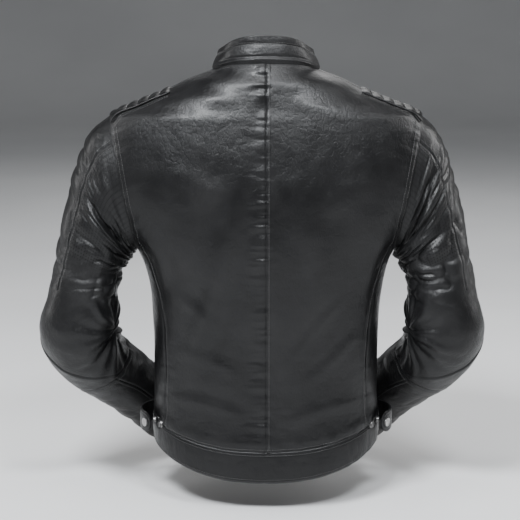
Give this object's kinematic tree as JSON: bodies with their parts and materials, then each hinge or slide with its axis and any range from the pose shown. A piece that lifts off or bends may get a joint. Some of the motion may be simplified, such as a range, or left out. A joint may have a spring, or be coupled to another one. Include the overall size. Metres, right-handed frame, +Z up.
{
  "type": "leather riding jacket",
  "caption": "Hip-length leather motorcycle jacket with stand collar, quilted shoulders, perforated sleeve backs, dropped waistband, side adjuster tabs and a front zip.",
  "frame": {"origin": "middle of the neck opening, level with the centre-back neck seam", "axes": "+Z up, +Y the way the wearer faces, +X the wearer's right"},
  "size_m": [0.6804, 0.3134, 0.6674],
  "materials": {
    "black_leather": "smooth black cowhide, satin",
    "perforated_leather": "black cowhide, perforated",
    "quilted_leather": "padded and stitched black cowhide",
    "lining_fabric": "woven dark lining",
    "armour_foam": "dense protector foam",
    "zip_tape": "woven tape",
    "zip_metal": "gunmetal",
    "snap_metal": "polished",
    "cord": "braided cord"
  },
  "bodies": {
    "jacket": {"back_lining": "lining_fabric", "back_protector": "armour_foam", "collar_facing": "black_leather", "collar_shell": "black_leather", "front_linings": "lining_fabric", "front_zip_stops": "zip_metal", "hanger_loop": "cord", "left_back_panel": "black_leather", "left_front_panel": "black_leather", "left_shoulder_quilt": "quilted_leather", "left_side_panel": "black_leather", "pocket_zips": "zip_metal", "right_back_panel": "black_leather", "right_front_panel": "black_leather", "right_shoulder_quilt": "quilted_leather", "right_side_panel": "black_leather", "shoulder_armours": "armour_foam", "snap_studs": "snap_metal", "waistband_back": "black_leather", "waistband_fronts": "black_leather", "wind_flap": "black_leather", "zip_tapes": "zip_tape", "zip_teeth": "zip_metal"},
    "left_upper_sleeve": {"left_sleeve_top_panel": "black_leather", "left_sleeve_back_panel": "perforated_leather", "left_sleeve_under_panel": "black_leather", "left_sleeve_lining": "lining_fabric", "left_elbow_leather": "black_leather"},
    "left_forearm_sleeve": {"left_forearm_outer_panel": "black_leather", "left_forearm_inner_panel": "black_leather", "left_forearm_lining": "lining_fabric", "left_forearm_armour": "armour_foam", "left_cuff_zip": "zip_metal"},
    "left_waist_tab": {"left_waist_tab": "black_leather", "left_tab_snap": "snap_metal"},
    "left_pocket_slider": {"left_pocket_slider": "zip_metal"},
    "left_pocket_pull": {"left_pocket_pull": "zip_metal"},
    "left_cuff_slider": {"left_cuff_slider": "zip_metal"},
    "left_cuff_pull": {"left_cuff_pull": "zip_metal"},
    "right_upper_sleeve": {"right_sleeve_top_panel": "black_leather", "right_sleeve_back_panel": "perforated_leather", "right_sleeve_under_panel": "black_leather", "right_sleeve_lining": "lining_fabric", "right_elbow_leather": "black_leather"},
    "right_forearm_sleeve": {"right_forearm_outer_panel": "black_leather", "right_forearm_inner_panel": "black_leather", "right_forearm_lining": "lining_fabric", "right_forearm_armour": "armour_foam", "right_cuff_zip": "zip_metal"},
    "right_waist_tab": {"right_waist_tab": "black_leather", "right_tab_snap": "snap_metal"},
    "right_pocket_slider": {"right_pocket_slider": "zip_metal"},
    "right_pocket_pull": {"right_pocket_pull": "zip_metal"},
    "right_cuff_slider": {"right_cuff_slider": "zip_metal"},
    "right_cuff_pull": {"right_cuff_pull": "zip_metal"},
    "front_slider": {"front_slider": "zip_metal"},
    "front_pull": {"front_pull": "zip_metal"},
    "collar_tab": {"collar_tab": "black_leather", "collar_tab_snap": "snap_metal"}
  },
  "joints": [
    {"name": "left_shoulder_swing", "type": "hinge", "parent": "jacket", "child": "left_upper_sleeve", "pos_m": [-0.2115, -0.007, -0.1825], "axis": [0.983, 0, 0.1834], "range_deg": [0, 45]},
    {"name": "left_elbow_bend", "type": "hinge", "parent": "left_upper_sleeve", "child": "left_forearm_sleeve", "pos_m": [-0.286, -0.022, -0.396], "axis": [0.7915, -0.6112, 0], "range_deg": [-40, 8], "deforming": ["left_elbow_leather"]},
    {"name": "left_waist_tab_hinge", "type": "hinge", "parent": "jacket", "child": "left_waist_tab", "pos_m": [-0.17617, 0.0225, -0.548], "axis": [0, 0, -1], "range_deg": [0, 60]},
    {"name": "right_shoulder_swing", "type": "hinge", "parent": "jacket", "child": "right_upper_sleeve", "pos_m": [0.2115, -0.007, -0.1825], "axis": [0.983, 0, -0.1834], "range_deg": [0, 45]},
    {"name": "right_elbow_bend", "type": "hinge", "parent": "right_upper_sleeve", "child": "right_forearm_sleeve", "pos_m": [0.274, -0.022, -0.396], "axis": [0.7915, 0.6112, 0], "range_deg": [-40, 8], "deforming": ["right_elbow_leather"]},
    {"name": "right_waist_tab_hinge", "type": "hinge", "parent": "jacket", "child": "right_waist_tab", "pos_m": [0.17617, 0.0225, -0.548], "axis": [0, 0, 1], "range_deg": [0, 60]},
    {"name": "front_zip_slide", "type": "slide", "parent": "jacket", "child": "front_slider", "axis": [0, 0.0711, -0.9975], "range_m": [0, 0.452]},
    {"name": "front_pull_swing", "type": "hinge", "parent": "front_slider", "child": "front_pull", "pos_m": [0, 0.09322, -0.0942], "axis": [1, 0, 0], "range_deg": [0, 150]},
    {"name": "left_pocket_slide", "type": "slide", "parent": "jacket", "child": "left_pocket_slider", "axis": [-0.2575, -0.0356, -0.9656], "range_m": [0, 0.115]},
    {"name": "left_pocket_pull_swing", "type": "hinge", "parent": "left_pocket_slider", "child": "left_pocket_pull", "pos_m": [-0.08345, 0.11021, -0.40356], "axis": [0.9015, 0.3508, -0.2533], "range_deg": [0, 150]},
    {"name": "left_cuff_slide", "type": "slide", "parent": "left_forearm_sleeve", "child": "left_cuff_slider", "axis": [-0.4712, -0.5596, 0.6818], "range_m": [0, 0.06]},
    {"name": "left_cuff_pull_swing", "type": "hinge", "parent": "left_cuff_slider", "child": "left_cuff_pull", "pos_m": [-0.17308, 0.16339, -0.53136], "axis": [0.8616, -0.4572, 0.2203], "range_deg": [0, 150]},
    {"name": "right_pocket_slide", "type": "slide", "parent": "jacket", "child": "right_pocket_slider", "axis": [0.2575, -0.0356, -0.9656], "range_m": [0, 0.115]},
    {"name": "right_pocket_pull_swing", "type": "hinge", "parent": "right_pocket_slider", "child": "right_pocket_pull", "pos_m": [0.08345, 0.11021, -0.40356], "axis": [0.9015, -0.3508, 0.2533], "range_deg": [0, 150]},
    {"name": "right_cuff_slide", "type": "slide", "parent": "right_forearm_sleeve", "child": "right_cuff_slider", "axis": [0.4466, -0.5676, 0.6916], "range_m": [0, 0.06]},
    {"name": "right_cuff_pull_swing", "type": "hinge", "parent": "right_cuff_slider", "child": "right_cuff_pull", "pos_m": [0.16604, 0.1637, -0.53174], "axis": [0.8748, 0.4392, -0.2045], "range_deg": [0, 150]},
    {"name": "collar_tab_hinge", "type": "hinge", "parent": "jacket", "child": "collar_tab", "pos_m": [-0.03514, 0.08489, -0.05179], "axis": [0, -0.289, 0.9573], "range_deg": [0, 110]}
  ]
}
